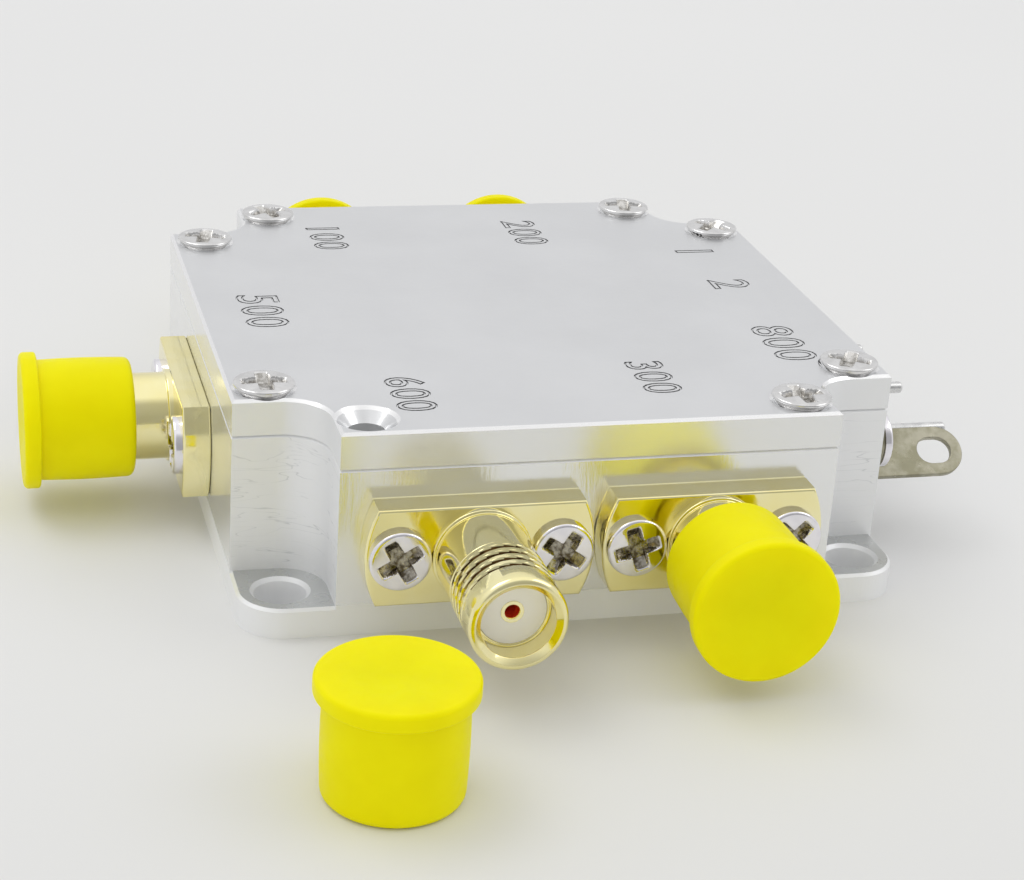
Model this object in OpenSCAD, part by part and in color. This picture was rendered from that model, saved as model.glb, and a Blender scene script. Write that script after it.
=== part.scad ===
// Coaxial switch module: a milled housing with a screwed lid, five flanged jacks
// with push-on dust caps, three feedthroughs and a ground lug, and the board inside.
// Millimetres. The origin is the centre of the underside, +Z up, jack 4 towards -Y.

/* [Housing] */
// Width of the square housing, along X and along Y
body_w = 46; // [46:1:60]
// Height of the housing walls above the underside
body_h = 11.85; // [11.5:0.05:14]
// Thickness of the base plate that forms the four ears
ear_t = 2.1; // [1.5:0.1:3]
// Radius of the outer corners of the ears
ear_r = 3; // [1:0.5:4]
// Side of the square notch above each ear
notch_w = 6.05; // [5.8:0.05:6.6]
// Cutter radius left in the inner corner of a notch
notch_r = 3; // [1:0.5:3]
// Bevel on the upper outer edges of the housing and the lid
edge_bevel = 0.2; // [0.1:0.05:0.3]
// Thickness of the side walls
wall_t = 4.8; // [4.6:0.1:5.5]
// Least wall between a notch and the cavity
corner_wall = 3.15; // [2:0.05:3.5]
// Thickness of the floor under the board
floor_t = 2.6; // [2:0.1:3.5]
// Width of the ledge that carries the board and takes its screws
ledge_w = 4.3; // [4.2:0.1:5]
// Cutter radius in the corners of the cavity
cavity_r = 1.5; // [0.5:0.5:2]

/* [Mounting holes] */
// Distance from a side of the housing to the centre of a mounting hole
mount_inset = 2.9; // [2.6:0.05:3]
// Diameter of the mounting holes
mount_d = 3.5; // [2.5:0.1:3.6]
// Bevel round the top of a mounting hole
mount_bevel = 0.25; // [0.1:0.05:0.3]

/* [Lid] */
// Thickness of the lid
lid_t = 2.5; // [2:0.1:3]
// Diameter of a screw hole in the lid
lid_hole_d = 2.5; // [2.3:0.1:2.8]
// Diameter of a countersink at the top of the lid
countersink_d = 4.3; // [4.2:0.1:4.6]
// Distance from a side of the lid to the centre of a screw
lid_screw_edge = 2.4; // [2.3:0.1:2.6]
// Distance from a notch to the centre of the screw beside it
lid_screw_notch = 2.1; // [2:0.1:3]

/* [Screws] */
// Thread diameter of every screw
screw_d = 2; // [1.6:0.1:2]
// Radial clearance of a screw in its hole
screw_clear = 0.05; // [0.03:0.01:0.1]
// Head diameter of the lid screws
lid_head_d = 4.1; // [3.8:0.1:4.2]
// Height of a lid screw's domed head above the lid
lid_head_rise = 0.6; // [0.4:0.02:0.7]
// Height of the upright edge of that head
lid_head_edge = 0.34; // [0.1:0.02:0.36]
// Length of a lid screw below the top of the lid
lid_screw_l = 4.5; // [4:0.1:4.6]
// Head diameter of the screws that hold jacks, board and lug
pan_head_d = 4.1; // [3.6:0.1:4.1]
// Head height of those screws
pan_head_h = 0.65; // [0.5:0.01:1.3]
// Edge radius of a pan head
pan_head_r = 0.25; // [0.1:0.05:0.4]
// Length of a jack screw below its head
flange_screw_l = 5.9; // [4.5:0.1:6.3]
// Length of a board screw below its head
board_screw_l = 3; // [2:0.1:4]
// Length of the lug screw below its head
lug_screw_l = 4.2; // [3:0.1:4.4]
// Length of one cross slot in a screw head, at its top
recess_l = 3.1; // [1.8:0.1:3.2]
// Width of a cross slot
recess_w = 1; // [0.4:0.05:1.1]
// Depth of a cross slot
recess_depth = 0.6; // [0.4:0.05:0.8]

/* [Jacks] */
// Height of the jack axes above the underside
jack_z = 6.35; // [6.3:0.05:7]
// Length of a jack flange along the wall
flange_l = 15.3; // [15:0.05:15.9]
// Gap between the flanges of the two jacks on one wall
flange_gap = 0.5; // [0.1:0.05:1]
// Height of a jack flange
flange_h = 6.8; // [6.6:0.1:7]
// Thickness of a jack flange
flange_t = 1.95; // [1.5:0.05:2.5]
// Bevel round the front and the back of a jack flange
flange_bevel = 0.18; // [0.1:0.02:0.3]
// Distance between the two screws of a jack
flange_screw_pitch = 10.8; // [10.6:0.05:11]
// Distance from the wall to the mouth of a jack
jack_l = 11.85; // [11:0.05:13]
// Diameter of the plain neck behind the thread
neck_d = 6.25; // [5.8:0.05:6.3]
// How far the low collar at the foot of the neck stands out from the neck
collar_step = 0.18; // [0.1:0.01:0.25]
// Height of that collar above the flange
collar_h = 0.4; // [0.2:0.05:0.6]
// Rounding of the collar's front edge
collar_edge = 0.1; // [0.05:0.01:0.15]
// Outer diameter of the thread and of the plain nose in front of it
thread_d = 6.35; // [6.3:0.05:6.5]
// Pitch of the thread
thread_pitch = 0.85; // [0.65:0.01:0.9]
// Number of thread grooves
thread_grooves = 4; // [3:1:6]
// Depth of a thread groove
thread_depth = 0.38; // [0.2:0.02:0.45]
// Length of the plain nose in front of the thread
nose_l = 1.9; // [1.5:0.05:2.2]
// Bevel on the outer edge of the nose
nose_bevel = 0.2; // [0.1:0.05:0.3]
// Diameter of the mouth, at the wide end of its lead-in
mouth_d = 5.5; // [5:0.05:5.7]
// Diameter of the bore that a mating plug enters
bore_d = 4.75; // [4.6:0.05:4.9]
// Depth of that bore from the mouth
bore_depth = 1.9; // [1.7:0.05:2.1]
// Length of the lead-in at the mouth
lead_in = 0.35; // [0.2:0.05:0.5]
// Diameter of the white insulator
insulator_d = 4.4; // [4:0.05:4.5]
// Radial clearance between shell, insulator and contact
insulator_clear = 0.02; // [0.01:0.01:0.04]
// Diameter of the centre contact
contact_d = 1.27; // [1.2:0.01:1.4]
// Diameter of the socket hole in the contact
socket_d = 0.94; // [0.8:0.01:1]
// Depth of the socket hole
socket_depth = 3; // [2:0.1:4]
// Width of the slots that make the contact springy
contact_slot = 0.14; // [0.1:0.02:0.2]
// Diameter of the solder pin at the inner end of the contact
solder_pin_d = 0.8; // [0.6:0.05:1]
// Length of the solder pin inside the cavity
solder_pin_l = 2.2; // [1.5:0.1:3]

/* [Dust caps] */
// Outer diameter of a dust cap
cap_d = 8.7; // [8:0.1:9]
// Outer diameter of the rim at the closed end
cap_rim_d = 9.7; // [9.2:0.1:10]
// Thickness of the rim
cap_rim_t = 1.15; // [0.8:0.05:1.5]
// Length of a dust cap
cap_l = 7.75; // [7:0.05:8.5]
// Thickness of the closed end
cap_end_t = 0.6; // [0.4:0.05:0.9]
// Radial clearance between cap and thread
cap_clear = 0.05; // [0.03:0.01:0.09]
// Gap between the closed end and the mouth of the jack
cap_gap = 0.05; // [0.03:0.01:0.2]
// Radius of the outer edge at the open end
cap_mouth_r = 0.55; // [0.2:0.05:0.8]
// Radius of the edges of the rim
cap_rim_r = 0.2; // [0.1:0.05:0.4]
// Distance from the front wall to the axis of the loose cap, which stands on its open end
loose_front = 19; // [18:0.5:40]
// Distance that this axis lies inside the line of the left wall
loose_side = 6; // [0:0.5:46]

/* [Feedthroughs] */
// Distance between the feedthroughs on the right wall
feed_pitch = 8; // [6:0.5:8]
// Distance from the lug screw to the feedthrough beside it
feed_lug = 5.6; // [5.4:0.1:7]
// Height of the feedthroughs above the underside
feed_z = 6.6; // [6.4:0.05:7]
// Diameter of a bush inside the wall
bush_d = 3; // [2.6:0.1:3.4]
// Width across the flats of the hexagon outside the wall
bush_hex = 4; // [3.6:0.1:4.4]
// Thickness of the hexagon
bush_hex_t = 1.1; // [0.8:0.1:1.5]
// Radial clearance of a bush in the wall and of the glass in the bush
feed_clear = 0.03; // [0.02:0.01:0.05]
// Diameter of the glass seal
seal_d = 2; // [1.6:0.1:2.2]
// Height of the glass seal beyond the hexagon
seal_rise = 0.25; // [0.1:0.05:0.5]
// Diameter of a feedthrough pin inside the glass and the cavity
feed_pin_d = 0.5; // [0.4:0.05:0.6]
// Diameter of its outer stretch, to which a wire is soldered
feed_post_d = 0.9; // [0.85:0.05:1.2]
// Length of a pin outside the wall
feed_pin_out = 8.6; // [5:0.1:12]
// Length of a pin inside the cavity
feed_pin_in = 2.6; // [1.5:0.1:3]
// Length of thin pin between the glass and the outer stretch
feed_bare = 0.15; // [0.1:0.05:0.5]

/* [Ground lug] */
// Thickness of the sheet
lug_t = 0.45; // [0.3:0.05:0.6]
// Width of the lug
lug_w = 3.85; // [3.6:0.05:4]
// Distance from the notch to the centre of the lug screw
lug_notch = 2.35; // [2.1:0.05:3]
// Clearance between the lug screw and the end of the lid screw above it
lug_screw_gap = 0.35; // [0.2:0.05:0.8]
// Distance from the lug screw to the bent tail
lug_bend = 2.4; // [2.3:0.05:3]
// Tilt of the tail from level
lug_tilt = 40; // [20:5:60]
// Distance from the wall to the end of the tail
lug_reach = 8.2; // [6:0.1:10]
// Length of the hole in the tail
lug_slot_l = 2.65; // [2.1:0.05:3]
// Width of the hole in the tail
lug_slot_w = 2.05; // [1.5:0.05:2.1]
// Distance from the end of the tail to the hole
lug_slot_end = 0.85; // [0.6:0.05:1.2]

/* [Circuit board] */
// Thickness of the board
board_t = 1; // [0.8:0.1:1.6]
// Clearance between the board and the cavity walls
board_clear = 0.2; // [0.1:0.05:0.4]
// Thickness of the copper
copper_t = 0.05; // [0.03:0.01:0.1]
// Width of a signal track
track_w = 1.1; // [0.8:0.05:1.5]
// Side of the square switch chip
chip_w = 4; // [3:0.1:5]
// Height of the switch chip
chip_h = 0.9; // [0.7:0.05:1.2]
// Length of a blocking capacitor
block_cap_l = 1.6; // [1.4:0.1:2]
// Width and height of a blocking capacitor
block_cap_w = 0.8; // [0.6:0.05:1]
// Distance from the board edge to a blocking capacitor
block_cap_edge = 5.5; // [4:0.25:7]
// Distance from the board's right edge to the column of control parts
control_edge = 6; // [5.5:0.25:8]
// Width of the regulator
regulator_w = 4.5; // [4:0.1:5]
// Depth of the regulator
regulator_l = 2.5; // [2:0.1:3]
// Height of the regulator
regulator_h = 1.5; // [1:0.1:2]

/* [Hidden] */
$fn = 96;
// Overlap of a cutting solid past the face that it cuts
eps = 0.01;
// The same on a bevel, where more would widen its upper edge
hair = 0.0001;

half = body_w / 2;
lid_top = body_h + lid_t;
notch_at = half - notch_w;
screw_r = screw_d / 2;
screw_hole_r = screw_r + screw_clear;
// Empty depth of a screw hole past the end of its screw
hole_bottom_gap = 0.1;

// The lid screws lie in pairs beside the notches, mirrored about both axes
lid_a = half - lid_screw_edge;
lid_b = notch_at - lid_screw_notch;
LID_SCREWS = [
    for (sx = [-1, 1], sy = [-1, 1], far = [true, false])
        [sx * (far ? lid_a : lid_b), sy * (far ? lid_b : lid_a)]
];
// The screw in front of the left front notch is missing
missing_screw = [-lid_b, -lid_a];
// Degrees by which each lid screw is turned past the one before it
lid_screw_turn = 37;
lid_head_cone = (lid_head_d - screw_d) / 2;
countersink_depth = (countersink_d - lid_hole_d) / 2;

// The cavity is a square whose corners step back from the notches
cavity_a = half - wall_t;
cavity_b = notch_at - corner_wall;
ledge_a = cavity_a - ledge_w;
ledge_b = cavity_b - ledge_w;

jack_pitch = flange_l + flange_gap;
// Each port: name, place of its axis on the wall, direction it faces, turns of its screws
PORTS = [
    ["1", [-jack_pitch / 2, half], 90, [12, 63]],
    ["2", [jack_pitch / 2, half], 90, [71, 35]],
    ["3", [jack_pitch / 2, -half], -90, [17, 45]],
    ["4", [-jack_pitch / 2, -half], -90, [30, 57]],
    ["common", [-half, 0], 180, [55, 8]]
];
PORT_NAMES = [for (p = PORTS) p[0]];

insulator_end = jack_l - bore_depth;
insulator_hole_d = insulator_d + 2 * insulator_clear;
contact_hole_d = contact_d + 2 * insulator_clear;
thread_end = jack_l - nose_l;
// A groove's width at the crests and at its root
groove_w = thread_pitch * 0.84;
groove_root_w = thread_pitch * 0.16;
// The collar stays clear of the heads of the flange's screws
collar_gap = 0.03;
collar_r = min(neck_d / 2 + collar_step, (flange_screw_pitch - pan_head_d) / 2 - collar_gap);
cap_seat = jack_l + cap_gap + cap_end_t;
cap_bore_r = thread_d / 2 + cap_clear;

FEEDS = [1, 2, 3];
feed_hex_r = bush_hex / 2 / cos(30);

lug_y = -notch_at + lug_notch;
lug_z = lid_top - lid_screw_l - lug_screw_gap - screw_r;
lug_ring_r = lug_w / 2;
lug_screw_turn = 20;

copper_z = jack_z - solder_pin_d / 2;
board_top = copper_z - copper_t;
ledge_z = board_top - board_t;
board_a = cavity_a - board_clear;
board_b = cavity_b - board_clear;
board_r = cavity_r + board_clear;
board_screw_at = cavity_a - ledge_w / 2;
BOARD_SCREWS = [
    [0, board_screw_at], [0, -board_screw_at], [-board_screw_at, ledge_b], [-board_screw_at, -ledge_b]
];
// Every signal track runs straight in from its jack and then at 45 degrees to the chip,
// and ends under it by chip_land. A square pad lies under the middle of the chip
chip_land = 0.35;
track_end = chip_w / 2 - chip_land;
chip_pad = chip_w / 5;
track_turn = jack_pitch / 2 - track_end;
track_gap = block_cap_l / 2;
block_cap_at = board_a - block_cap_edge;
feed_pad_l = 2.2;
feed_pad_w = 1.6;
// Solder stops short of the end of its pin or pad, and rises by a share of the pin's radius
solder_end = 0.15;
solder_rise = 0.4;
jack_solder_l = solder_pin_l - board_clear - 3 * solder_end;
feed_solder_l = feed_pad_l - 3 * solder_end;
feed_solder_w = feed_pad_w - 2 * solder_end;
// The control parts stand in one column, a gap apart, and their Y counts from the middle
control_x = board_a - control_edge;
control_gap = 0.8;
bypass_l = 1.2;
bypass_w = 0.7;
resistor_l = 1.6;
resistor_w = 0.8;
resistor_h = 0.45;
regulator_y = -regulator_l / 2 - bypass_w - resistor_w / 2 - 2 * control_gap;
BYPASS_Y = [
    regulator_y - regulator_l / 2 - control_gap - bypass_w / 2,
    -resistor_w / 2 - control_gap - bypass_w / 2,
    resistor_w / 2 + control_gap + bypass_w / 2
];
RESISTOR_Y = [0, resistor_w + bypass_w + 2 * control_gap];

SINGLE = [
    "housing", "lid", "lid_screws", "ground_lug", "lug_screw", "circuit_board", "board_screws",
    "copper_tracks", "solder_joints", "switch_chip", "regulator", "bypass_capacitors", "resistors"
];

function arc(centre, r, from, to, steps = 6) = [
    for (i = [0:steps])
        let (a = from + (to - from) * i / steps)
        centre + r * [cos(a), sin(a)]
];

// A plate with sides w and d, centred, with vertical edges of radius r
module rounded_plate(w, d, h, r) {
    translate([-w / 2 + r, -d / 2, 0]) cube([w - 2 * r, d, h]);
    translate([-w / 2, -d / 2 + r, 0]) cube([w, d - 2 * r, h]);
    for (x = [-1, 1], y = [-1, 1])
        translate([x * (w / 2 - r), y * (d / 2 - r), 0]) cylinder(r = r, h = h);
}

// A bar along Y whose width grows from w by b on each side over the height b
module flared_bar(w, l, b) {
    rotate([90, 0, 0])
        translate([0, 0, -l / 2])
            linear_extrude(l)
                polygon([[-w / 2, -eps], [w / 2, -eps], [w / 2, 0], [w / 2 + b, b],
                    [w / 2 + b, b + eps], [-w / 2 - b, b + eps], [-w / 2 - b, b], [-w / 2, 0]]);
}

// The cutter for one notch, with the bevel that it leaves at the height top
module notch_cutter(bottom, top) {
    w = 2 * notch_w;
    translate([0, 0, bottom]) rounded_plate(w, w, top - bottom + eps, notch_r);
    translate([0, 0, top - edge_bevel]) {
        flared_bar(w, w - 2 * notch_r, edge_bevel);
        rotate([0, 0, 90]) flared_bar(w, w - 2 * notch_r, edge_bevel);
        for (x = [-1, 1], y = [-1, 1])
            translate([x, y, 0] * (notch_w - notch_r))
                cylinder(r1 = notch_r, r2 = notch_r + edge_bevel, h = edge_bevel + hair);
    }
}

// A square block with a bevel along its four upper edges
module bevelled_block(bottom, top) {
    h = top - bottom;
    profile = [[-half, 0], [half, 0], [half, h - edge_bevel], [half - edge_bevel, h],
        [-half + edge_bevel, h], [-half, h - edge_bevel]];
    translate([0, 0, bottom])
        intersection_for (a = [0, 90])
            rotate([90, 0, a])
                translate([0, 0, -half])
                    linear_extrude(body_w)
                        polygon(profile);
}

// The notched block that the housing walls and the lid share
module notched_block(bottom, top) {
    difference() {
        bevelled_block(bottom, top);
        for (x = [-1, 1], y = [-1, 1])
            translate([x * half, y * half, 0]) notch_cutter(bottom - eps, top);
    }
}

// The base plate, with its upper edge bevelled all round, so also on the ears
module base_plate() {
    rounded_plate(body_w, body_w, ear_t - edge_bevel, ear_r);
    translate([0, 0, ear_t - edge_bevel]) {
        w = body_w - 2 * ear_r;
        for (a = [0, 90])
            rotate([90, 0, a])
                translate([0, 0, -w / 2])
                    linear_extrude(w)
                        polygon([[-half, 0], [half, 0], [half - edge_bevel, edge_bevel],
                            [-half + edge_bevel, edge_bevel]]);
        for (x = [-1, 1], y = [-1, 1])
            translate([x, y, 0] * (half - ear_r))
                cylinder(r1 = ear_r, r2 = ear_r - edge_bevel, h = edge_bevel);
    }
}

module stepped_pocket(a, b, r, bottom, top) {
    translate([0, 0, bottom]) {
        rounded_plate(2 * a, 2 * b, top - bottom, r);
        rounded_plate(2 * b, 2 * a, top - bottom, r);
    }
}

// Places its children at port i, with X pointing out of the wall and X = 0 on its face
module at_port(i) {
    translate([PORTS[i][1][0], PORTS[i][1][1], jack_z]) rotate([0, 0, PORTS[i][2]]) children();
}

// Places its children at both screws of a jack, with Z pointing out of the wall
module at_flange_screws(turns = [0, 0]) {
    for (k = [0, 1])
        translate([0, (k - 0.5) * flange_screw_pitch, 0])
            rotate([0, 90, 0])
                rotate([0, 0, 90 + turns[k]])
                    children();
}

function feed_at(k) = lug_y + feed_lug + (len(FEEDS) - k) * feed_pitch;

// Places its children at feedthrough k, with Z pointing out of the right wall
module at_feed(k) {
    translate([half, feed_at(k), feed_z]) rotate([0, 90, 0]) children();
}

module at_lug() {
    translate([half, lug_y, lug_z]) rotate([0, 90, 0]) children();
}

module at_board_screws() {
    for (p = BOARD_SCREWS)
        translate([p[0], p[1], board_top]) children();
}

module housing() {
    color("silver")
    difference() {
        union() {
            base_plate();
            notched_block(ear_t - edge_bevel, body_h);
        }
        stepped_pocket(cavity_a, cavity_b, cavity_r, ledge_z, body_h + eps);
        stepped_pocket(ledge_a, ledge_b, cavity_r, floor_t, body_h);
        for (x = [-1, 1], y = [-1, 1])
            translate([x, y, 0] * (half - mount_inset)) {
                translate([0, 0, -eps]) cylinder(d = mount_d, h = ear_t + 2 * eps);
                translate([0, 0, ear_t - mount_bevel])
                    cylinder(d1 = mount_d, d2 = mount_d + 2 * mount_bevel + 2 * eps,
                        h = mount_bevel + eps);
            }
        for (p = LID_SCREWS)
            translate([p[0], p[1], lid_top - lid_screw_l - hole_bottom_gap])
                cylinder(r = screw_hole_r, h = lid_screw_l);
        for (i = [0:len(PORTS) - 1])
            at_port(i) {
                rotate([0, 90, 0])
                    translate([0, 0, -wall_t - eps]) cylinder(d = insulator_hole_d, h = wall_t + 2 * eps);
                at_flange_screws()
                    translate([0, 0, flange_t - flange_screw_l - hole_bottom_gap])
                        cylinder(r = screw_hole_r, h = flange_screw_l);
            }
        for (k = FEEDS)
            at_feed(k)
                translate([0, 0, -wall_t - eps])
                    cylinder(r = bush_d / 2 + feed_clear, h = wall_t + 2 * eps);
        at_lug()
            translate([0, 0, lug_t - lug_screw_l - hole_bottom_gap])
                cylinder(r = screw_hole_r, h = lug_screw_l);
        at_board_screws()
            translate([0, 0, -board_screw_l - hole_bottom_gap])
                cylinder(r = screw_hole_r, h = board_screw_l);
    }
}

module lid() {
    color("gainsboro")
    difference() {
        notched_block(body_h, lid_top);
        for (p = LID_SCREWS)
            translate([p[0], p[1], 0]) {
                translate([0, 0, body_h - eps]) cylinder(d = lid_hole_d, h = lid_t + 2 * eps);
                translate([0, 0, lid_top - countersink_depth])
                    cylinder(d1 = lid_hole_d, d2 = countersink_d + 2 * eps,
                        h = countersink_depth + eps);
            }
    }
}

// One slot is wider at its top, as a driver tip is
module cross_recess() {
    for (a = [0, 90])
        rotate([90, 0, a])
            translate([0, 0, -recess_w / 2])
                linear_extrude(recess_w)
                    polygon([[-recess_l / 2, eps], [recess_l / 2, eps],
                        [recess_l / 4, -recess_depth], [-recess_l / 4, -recess_depth]]);
}

// A pan head on Z = 0 with its shank below
module pan_screw(shank_l) {
    r = pan_head_d / 2;
    h = pan_head_h;
    e = pan_head_r;
    difference() {
        union() {
            rotate_extrude()
                polygon(concat([[0, 0], [r, 0]], arc([r - e, h - e], e, 0, 90), [[0, h]]));
            translate([0, 0, -shank_l]) cylinder(r = screw_r, h = shank_l + eps);
        }
        translate([0, 0, h]) cross_recess();
    }
}

// A countersunk screw whose low dome stands above Z = 0, the top of the lid
module lid_screw() {
    r = lid_head_d / 2;
    dome = lid_head_rise - lid_head_edge;
    dome_r = (r * r + dome * dome) / (2 * dome);
    sweep = asin(r / dome_r);
    difference() {
        rotate_extrude()
            polygon(concat(
                [[0, -lid_screw_l], [screw_r, -lid_screw_l], [screw_r, -lid_head_cone], [r, 0]],
                arc([0, lid_head_rise - dome_r], dome_r, 90 - sweep, 90)));
        translate([0, 0, lid_head_rise]) cross_recess();
    }
}

module lid_screws() {
    color("lightgray")
    for (i = [0:len(LID_SCREWS) - 1])
        if (LID_SCREWS[i] != missing_screw)
            translate([LID_SCREWS[i][0], LID_SCREWS[i][1], lid_top])
                rotate([0, 0, lid_screw_turn * i]) lid_screw();
}

// The flange has flat long sides and round ends, and a bevel round its front and its back
module flange() {
    b = flange_bevel;
    t = flange_t;
    r = flange_l / 2;
    h = flange_h / 2;
    intersection() {
        rotate([0, 90, 0])
            rotate_extrude($fn = 192)
                polygon([[0, 0], [r - b, 0], [r, b], [r, t - b], [r - b, t], [0, t]]);
        translate([0, r + eps, 0])
            rotate([90, 0, 0])
                linear_extrude(flange_l + 2 * eps)
                    polygon([[0, -h + b], [b, -h], [t - b, -h], [t, -h + b],
                        [t, h - b], [t - b, h], [b, h], [0, h - b]]);
    }
}

// Outline of one thread groove, from its inner flank to its outer one
function groove(x) = [
    [thread_d / 2, x - groove_w / 2],
    [thread_d / 2 - thread_depth, x - groove_root_w / 2],
    [thread_d / 2 - thread_depth, x + groove_root_w / 2],
    [thread_d / 2, x + groove_w / 2]
];

module barrel() {
    r = thread_d / 2;
    first = thread_end - (thread_grooves - 0.5) * thread_pitch;
    grooves = [for (k = [0:thread_grooves - 1], p = groove(first + k * thread_pitch)) p];
    start = first - thread_pitch / 2;
    collar = arc([collar_r - collar_edge, flange_t + collar_h - collar_edge], collar_edge, 0, 90);
    rotate([0, 90, 0])
        rotate_extrude()
            polygon(concat(
                [[0, 0], [collar_r, 0]], collar,
                [[neck_d / 2, flange_t + collar_h], [neck_d / 2, start - (r - neck_d / 2)], [r, start]],
                grooves,
                [[r, jack_l - nose_bevel], [r - nose_bevel, jack_l], [0, jack_l]]));
}

module jack_shell(i) {
    color("palegoldenrod")
    at_port(i)
        difference() {
            union() {
                flange();
                barrel();
            }
            rotate([0, 90, 0])
                rotate_extrude()
                    polygon([[0, -eps], [insulator_hole_d / 2, -eps],
                        [insulator_hole_d / 2, insulator_end], [bore_d / 2, insulator_end],
                        [bore_d / 2, jack_l - lead_in], [mouth_d / 2, jack_l],
                        [mouth_d / 2, jack_l + eps], [0, jack_l + eps]]);
            at_flange_screws()
                translate([0, 0, -eps]) cylinder(r = screw_hole_r, h = flange_t + 2 * eps);
        }
}

module jack_insulator(i) {
    color("white")
    at_port(i)
        rotate([0, 90, 0])
            difference() {
                translate([0, 0, -wall_t]) cylinder(d = insulator_d, h = wall_t + insulator_end);
                translate([0, 0, -wall_t - eps])
                    cylinder(d = contact_hole_d, h = wall_t + insulator_end + 2 * eps);
            }
}

module jack_contact(i) {
    color("gold")
    at_port(i)
        rotate([0, 90, 0])
            difference() {
                union() {
                    translate([0, 0, -wall_t]) cylinder(d = contact_d, h = wall_t + insulator_end);
                    translate([0, 0, -wall_t - solder_pin_l])
                        cylinder(d = solder_pin_d, h = solder_pin_l + eps);
                }
                translate([0, 0, insulator_end - socket_depth])
                    cylinder(d = socket_d, h = socket_depth + eps);
                for (a = [0, 90])
                    rotate([0, 0, a])
                        translate([-contact_d, -contact_slot / 2, insulator_end - socket_depth])
                            cube([2 * contact_d, contact_slot, socket_depth + eps]);
            }
}

module jack_screws(i) {
    color("whitesmoke")
    at_port(i)
        at_flange_screws(PORTS[i][3])
            translate([0, 0, flange_t]) pan_screw(flange_screw_l);
}

// A cap with its closed end at Z = 0 and its open end at Z = cap_l
module cap_body() {
    r = cap_d / 2;
    rim = cap_rim_d / 2;
    e = cap_rim_r;
    m = cap_mouth_r;
    rotate_extrude()
        polygon(concat(
            [[0, 0]],
            arc([rim - e, e], e, 270, 360),
            arc([rim - e, cap_rim_t - e], e, 0, 90),
            [[r, cap_rim_t]],
            arc([r - m, cap_l - m], m, 0, 90),
            [[cap_bore_r, cap_l], [cap_bore_r, cap_end_t], [0, cap_end_t]]));
}

module dust_cap(i) {
    color("yellow")
    if (PORT_NAMES[i] == "4")
        translate([-half + loose_side, -half - loose_front, cap_l]) rotate([180, 0, 0]) cap_body();
    else
        at_port(i) translate([cap_seat, 0, 0]) rotate([0, -90, 0]) cap_body();
}

module feedthrough_bush(k) {
    color("silver")
    at_feed(k)
        difference() {
            union() {
                translate([0, 0, -wall_t]) cylinder(d = bush_d, h = wall_t + eps);
                cylinder(r = feed_hex_r, h = bush_hex_t, $fn = 6);
            }
            translate([0, 0, -wall_t - eps])
                cylinder(r = seal_d / 2 + feed_clear, h = wall_t + bush_hex_t + 2 * eps);
        }
}

module feedthrough_seal(k) {
    color("white")
    at_feed(k)
        difference() {
            translate([0, 0, -wall_t]) cylinder(d = seal_d, h = wall_t + bush_hex_t + seal_rise);
            translate([0, 0, -wall_t - eps])
                cylinder(r = feed_pin_d / 2 + feed_clear,
                    h = wall_t + bush_hex_t + seal_rise + 2 * eps);
        }
}

module feedthrough_pin(k) {
    post_from = bush_hex_t + seal_rise + feed_bare;
    color("silver")
    at_feed(k) {
        translate([0, 0, -wall_t - feed_pin_in])
            cylinder(d = feed_pin_d, h = feed_pin_in + wall_t + post_from + eps);
        translate([0, 0, post_from]) cylinder(d = feed_post_d, h = feed_pin_out - post_from);
    }
}

// The lug lies on the wall under its screw, and its tail bends out, tilted about X
module ground_lug() {
    tail_l = lug_reach - lug_w / 2;
    slot_r = lug_slot_w / 2;
    slot_from = lug_reach - lug_slot_end - lug_slot_l + slot_r;
    slot_to = lug_reach - lug_slot_end - slot_r;
    color("tan")
    translate([half, lug_y, lug_z])
        rotate([lug_tilt, 0, 0])
            difference() {
                union() {
                    rotate([0, 90, 0]) cylinder(r = lug_ring_r, h = lug_t);
                    translate([0, -lug_w / 2, -lug_bend - lug_t]) cube([lug_t, lug_w, lug_bend + lug_t]);
                    translate([0, -lug_w / 2, -lug_bend - lug_t]) cube([tail_l, lug_w, lug_t]);
                    translate([tail_l, 0, -lug_bend - lug_t]) cylinder(d = lug_w, h = lug_t);
                }
                rotate([0, 90, 0])
                    translate([0, 0, -eps]) cylinder(r = screw_hole_r, h = lug_t + 2 * eps);
                translate([0, 0, -lug_bend - lug_t - eps]) {
                    for (x = [slot_from, slot_to])
                        translate([x, 0, 0]) cylinder(r = slot_r, h = lug_t + 2 * eps);
                    translate([slot_from, -slot_r, 0])
                        cube([slot_to - slot_from, lug_slot_w, lug_t + 2 * eps]);
                }
            }
}

module lug_screw() {
    color("whitesmoke")
    at_lug() translate([0, 0, lug_t]) rotate([0, 0, lug_screw_turn]) pan_screw(lug_screw_l);
}

module circuit_board() {
    color("darkgreen")
    difference() {
        stepped_pocket(board_a, board_b, board_r, ledge_z, board_top);
        at_board_screws()
            translate([0, 0, -board_t - eps]) cylinder(r = screw_hole_r, h = board_t + 2 * eps);
    }
}

module board_screws() {
    color("whitesmoke")
    at_board_screws() pan_screw(board_screw_l);
}

module copper_box(x0, y0, x1, y1) {
    translate([x0, y0, board_top]) cube([x1 - x0, y1 - y0, copper_t]);
}

// The track of the front right jack; the others mirror it
module side_track() {
    x = jack_pitch / 2;
    w = track_w / 2;
    s = w * (sqrt(2) - 1);
    y = -track_end - track_turn;
    copper_box(x - w, -board_a, x + w, -block_cap_at - track_gap / 2);
    copper_box(x - w, -block_cap_at + track_gap / 2, x + w, y - s);
    translate([0, 0, board_top])
        linear_extrude(copper_t)
            polygon([[x - w, y - s], [x + w, y - s], [x + w, y + s],
                [track_end + s, -track_end + w], [track_end - w, -track_end + w],
                [track_end - w, -track_end - s]]);
}

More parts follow.
